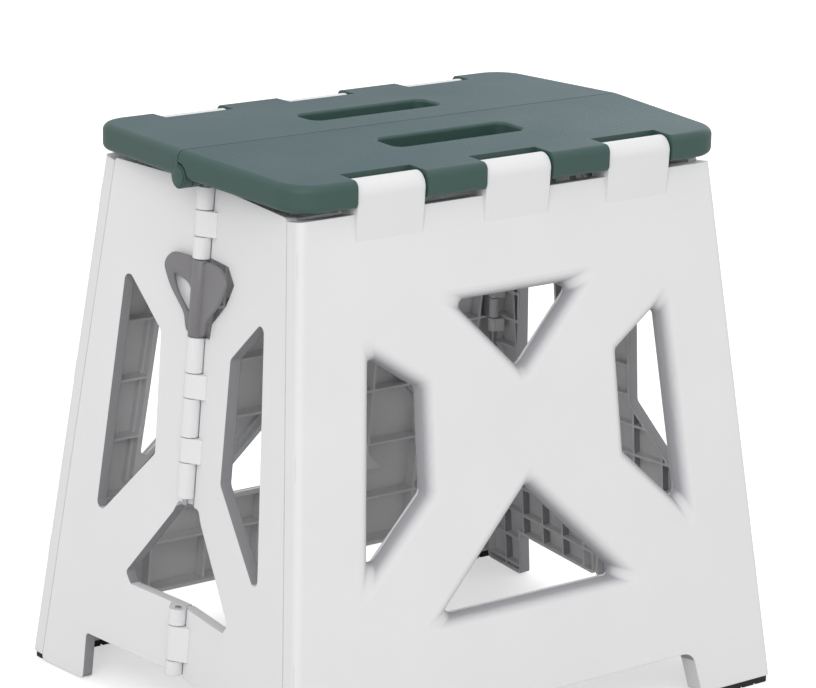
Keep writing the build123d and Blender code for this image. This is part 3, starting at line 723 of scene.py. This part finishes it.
@dataclass
class SideLatch:
    """The grey latch: a rounded paddle in front, an open loop behind and a sleeve on the centre pin.

    Lengths are in millimetres. Outlines give the distance from the middle of the end and the height.

    Attributes:
        centre_x: Distance of the leaves' outer faces from the stool's middle, where they meet at the floor.
        bend: How far a leaf's face moves outward for each unit of distance from the middle of the end.
        lean: How far the meeting line of the leaves leans inward for each unit of height.
        proud: Distance outward from the leaves' faces to the centre pin and to the middle of the wings.
        edge: Size of the softened edges.
        middle: Point inside both outlines that their rays start from.
        corner: How far from a corner its rounding starts.
    """

    replaced: str = "side_latch"
    body: str = "latch"
    slot: str = "latch_plastic"
    finish: MouldedPlastic = LATCH_FINISH
    centre_x: float = 186.077
    bend: float = 0.1051
    lean: float = 0.07875
    proud: float = 4.0
    thickness: float = 2.6
    edge: float = 0.7
    sleeve_radius: float = 5.8
    bore_radius: float = 2.3
    low: float = 267.5
    high: float = 319.1
    middle: Flat = (14.0, 295.0)
    corner: float = 8.0
    outline: tuple[Flat, ...] = (
        (4.6, 318.8),
        (30.0, 318.8),
        (38.4, 310.0),
        (29.9, 295.2),
        (12.2, 279.0),
        (10.4, 268.8),
        (4.6, 268.8),
    )
    hole: tuple[Flat, ...] = ((28.0, 305.5), (7.4, 300.5), (7.4, 282.0), (10.4, 282.4), (23.5, 295.0))
    rays: int = 144
    sleeve_steps: int = 48

    def build(self) -> None:
        """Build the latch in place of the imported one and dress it."""
        points: list[Vector] = []
        faces: list[Face] = []
        self.wing(points, faces, -1, None)
        self.wing(points, faces, 1, self.hole)
        self.sleeve(points, faces)
        places = [point * MM for point in points]
        latch = new_piece("latch_paddle_and_loop", places, faces, self.finish.build())
        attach(latch, self.body)
        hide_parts(self.replaced)
        LOG.info("built %s", latch.name)

    def place(self, side: int, flat: Flat, height: float) -> Vector:
        """Return the point at a height over the leaf's outer face.

        Args:
            side: Minus one for the front leaf and one for the rear leaf.
            flat: Distance from the middle of the end, and height over the floor.
            height: Distance outward from the leaf's outer face.

        Returns:
            The point in millimetres.
        """
        outward = Vector((-1.0, -side * self.bend, self.lean)).normalized()
        reach = self.centre_x + self.bend * flat[0] - self.lean * flat[1]
        return Vector((-reach, side * flat[0], flat[1])) + outward * height

    def wing(
        self, points: list[Vector], faces: list[Face], side: int, hole: tuple[Flat, ...] | None
    ) -> None:
        """Add one wing of the latch, with softened edges.

        Args:
            points: Points of the mesh so far.
            faces: Faces of the mesh so far.
            side: Minus one for the front leaf and one for the rear leaf.
            hole: Outline of the hole in the wing, or none.
        """
        under = self.proud - 0.5 * self.thickness
        over = self.proud + 0.5 * self.thickness
        steps = [(self.edge, under), (0.0, under + self.edge), (0.0, over - self.edge), (self.edge, over)]
        outer = polar(rounded(self.outline, self.corner), self.middle, self.rays)
        rings = [(shrunk(outer, self.middle, inset), height) for inset, height in steps]
        if hole is not None:
            inner = polar(rounded(hole, self.corner), self.middle, self.rays)
            rings += [(shrunk(inner, self.middle, -inset), height) for inset, height in reversed(steps)]
        first = len(points)
        for ring, height in rings:
            points.extend(self.place(side, flat, height) for flat in ring)
        flipped = side > 0
        faces.extend(skin(first, len(rings), self.rays, closed=hole is not None, flipped=flipped))
        if hole is None:
            faces.extend(lids(first, len(rings), self.rays, flipped))

    def sleeve(self, points: list[Vector], faces: list[Face]) -> None:
        """Add the sleeve that turns on the centre pin.

        Args:
            points: Points of the mesh so far.
            faces: Faces of the mesh so far.
        """
        axis = Vector((self.lean, 0.0, 1.0)).normalized()
        across = Vector((0.0, 1.0, 0.0))
        outward = across.cross(axis)
        profile = [
            (self.bore_radius, self.low),
            (self.sleeve_radius - self.edge, self.low),
            (self.sleeve_radius, self.low + self.edge),
            (self.sleeve_radius, self.high - self.edge),
            (self.sleeve_radius - self.edge, self.high),
            (self.bore_radius, self.high),
        ]
        first = len(points)
        for radius, height in profile:
            centre = Vector((-self.centre_x - self.proud + self.lean * height, 0.0, height))
            for step in range(self.sleeve_steps):
                angle = 2.0 * math.pi * step / self.sleeve_steps
                around = across * math.cos(angle) + outward * math.sin(angle)
                points.append(centre + around * radius)
        faces.extend(skin(first, len(profile), self.sleeve_steps, closed=True, flipped=True))


@dataclass
class HingePins:
    """The steel pins of the seat, corner and centre hinges."""

    ending: str = "_pin"
    finish: DrawnSteel = PIN_FINISH

    def build(self) -> None:
        """Dress every pin."""
        material = self.finish.build()
        for name in sorted(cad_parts):
            if name.endswith(self.ending):
                dress(name, material)


@dataclass
class FootPads:
    """The four rubber pads under the feet."""

    ending: str = "_foot_pad"
    finish: MouldedRubber = PAD_FINISH

    def build(self) -> None:
        """Dress every pad."""
        material = self.finish.build()
        for name in sorted(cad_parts):
            if name.endswith(self.ending):
                dress(name, material)


@dataclass(frozen=True)
class Softbox:
    """One soft square lamp, with its side in metres and its power in watts."""

    name: str
    place: Point
    size: float
    power: float


@dataclass
class Studio:
    """A pale floor, soft lamps and the camera of the photograph, with lengths in metres.

    Attributes:
        floor_glow: Light that the floor shows to the camera alone.
        sky_level: Strength of the sky as a light. The camera sees it as white.
        target_height: Height of the point that the lamps aim at.
        focal_pixels: Focal length of the camera in pixels of the picture.
        distance: How far the camera stands from the target along its own axis.
        aim_right: How far the camera stands to the right of that line.
        aim_up: How far the camera stands above that line.
        centre_right_pixels: How far right of the picture's middle the camera's axis falls.
        centre_down_pixels: How far below the picture's middle the camera's axis falls.
    """

    floor_half_size: float = 30.0
    floor_colour: str = "#dedede"
    floor_roughness: float = 0.9
    floor_glow: float = 0.5
    sky_level: float = 0.84
    target_height: float = 0.234
    lamps: tuple[Softbox, ...] = (
        Softbox("key_softbox", place=(-2.0, -2.0, 2.0), size=1.8, power=28.0),
        Softbox("top_softbox", place=(0.2, -0.2, 3.0), size=1.6, power=8.0),
        Softbox("sheen_softbox", place=(2.3, 1.5, 1.0), size=1.4, power=7.0),
    )
    focal_pixels: float = 3278.0
    yaw_degrees: float = 36.98
    pitch_degrees: float = 15.55
    roll_degrees: float = 1.16
    distance: float = 2.2437
    aim_right: float = 0.02688
    aim_up: float = 0.00944
    centre_right_pixels: float = 36.48
    centre_down_pixels: float = -10.13
    sensor_mm: float = 36.0
    farthest_seen: float = 100.0

    def build(self) -> None:
        """Make the floor, world, lamps and camera."""
        self.floor()
        self.world()
        for lamp in self.lamps:
            self.lamp(lamp)
        self.camera()

    def floor(self) -> None:
        """Make the pale floor, which the camera sees as white apart from the stool's shadow."""
        material, tree = new_material("pale_studio_floor")
        path = add_node(tree, "ShaderNodeLightPath", {}, {})
        seen = {"Value": (path, "Is Camera Ray"), "To Max": self.floor_glow}
        glow = add_node(tree, "ShaderNodeMapRange", {}, seen)
        inputs = {
            "Base Color": linear(self.floor_colour),
            "Roughness": self.floor_roughness,
            "Emission Color": WHITE,
            "Emission Strength": (glow, 0),
        }
        shader = add_node(tree, "ShaderNodeBsdfPrincipled", {}, inputs)
        add_node(tree, "ShaderNodeOutputMaterial", {}, {"Surface": (shader, "BSDF")})
        size = self.floor_half_size
        corners = [(-size, -size, 0.0), (size, -size, 0.0), (size, size, 0.0), (-size, size, 0.0)]
        floor = new_piece("studio_floor", corners, [(0, 1, 2, 3)], material)

    def world(self) -> None:
        """Make an even sky that the camera sees as white."""
        world = bpy.data.worlds.new("studio_sky")
        world.use_nodes = True
        tree = world.node_tree
        tree.nodes.clear()
        path = add_node(tree, "ShaderNodeLightPath", {}, {})
        seen = {"Value": (path, "Is Camera Ray"), "To Min": self.sky_level}
        level = add_node(tree, "ShaderNodeMapRange", {}, seen)
        sky = add_node(tree, "ShaderNodeBackground", {}, {"Color": WHITE, "Strength": (level, 0)})
        add_node(tree, "ShaderNodeOutputWorld", {"is_active_output": True}, {"Surface": (sky, "Background")})
        bpy.context.scene.world = world

    def lamp(self, softbox: Softbox) -> None:
        """Make one soft square lamp aimed at the stool.

        Args:
            softbox: Its name, place, size and power.
        """
        data = bpy.data.lights.new(softbox.name, "AREA")
        data.size = softbox.size
        data.energy = softbox.power
        lamp = bpy.data.objects.new(softbox.name, data)
        lamp.location = softbox.place
        aim = Vector((0.0, 0.0, self.target_height)) - Vector(softbox.place)
        lamp.rotation_euler = aim.to_track_quat("-Z", "Y").to_euler()
        bpy.context.scene.collection.objects.link(lamp)

    def camera(self) -> None:
        """Place the camera where the photograph was taken from."""
        yaw = math.radians(self.yaw_degrees)
        pitch = math.radians(self.pitch_degrees)
        roll = math.radians(self.roll_degrees)
        ahead = Vector((math.sin(yaw), math.cos(yaw), 0.0))
        forward = ahead * math.cos(pitch) - Vector((0.0, 0.0, math.sin(pitch)))
        level = Vector((math.cos(yaw), -math.sin(yaw), 0.0))
        upright = level.cross(forward)
        right = level * math.cos(roll) + upright * math.sin(roll)
        up = upright * math.cos(roll) - level * math.sin(roll)
        target = Vector((0.0, 0.0, self.target_height))
        eye = target - forward * self.distance + right * self.aim_right + up * self.aim_up
        data = bpy.data.cameras.new("photograph_camera")
        data.sensor_width = self.sensor_mm
        data.lens = self.focal_pixels / IMAGE_WIDTH * self.sensor_mm
        data.shift_x = -self.centre_right_pixels / IMAGE_WIDTH
        data.shift_y = self.centre_down_pixels / IMAGE_WIDTH
        data.clip_end = self.farthest_seen
        camera = bpy.data.objects.new("photograph_camera", data)
        turn = Matrix((right, up, -forward)).transposed().to_4x4()
        camera.matrix_world = Matrix.Translation(eye) @ turn
        bpy.context.scene.collection.objects.link(camera)
        bpy.context.scene.camera = camera


def main() -> None:
    """Dress the stool and set up the studio."""
    logging.basicConfig(level=logging.INFO)
    bpy.context.scene.view_settings.view_transform = "Standard"
    LegFrame().build()
    EndLeaves().build()
    SplitSeat().build()
    SideLatch().build()
    HingePins().build()
    FootPads().build()
    Studio().build()


if __name__ == "__main__":
    main()
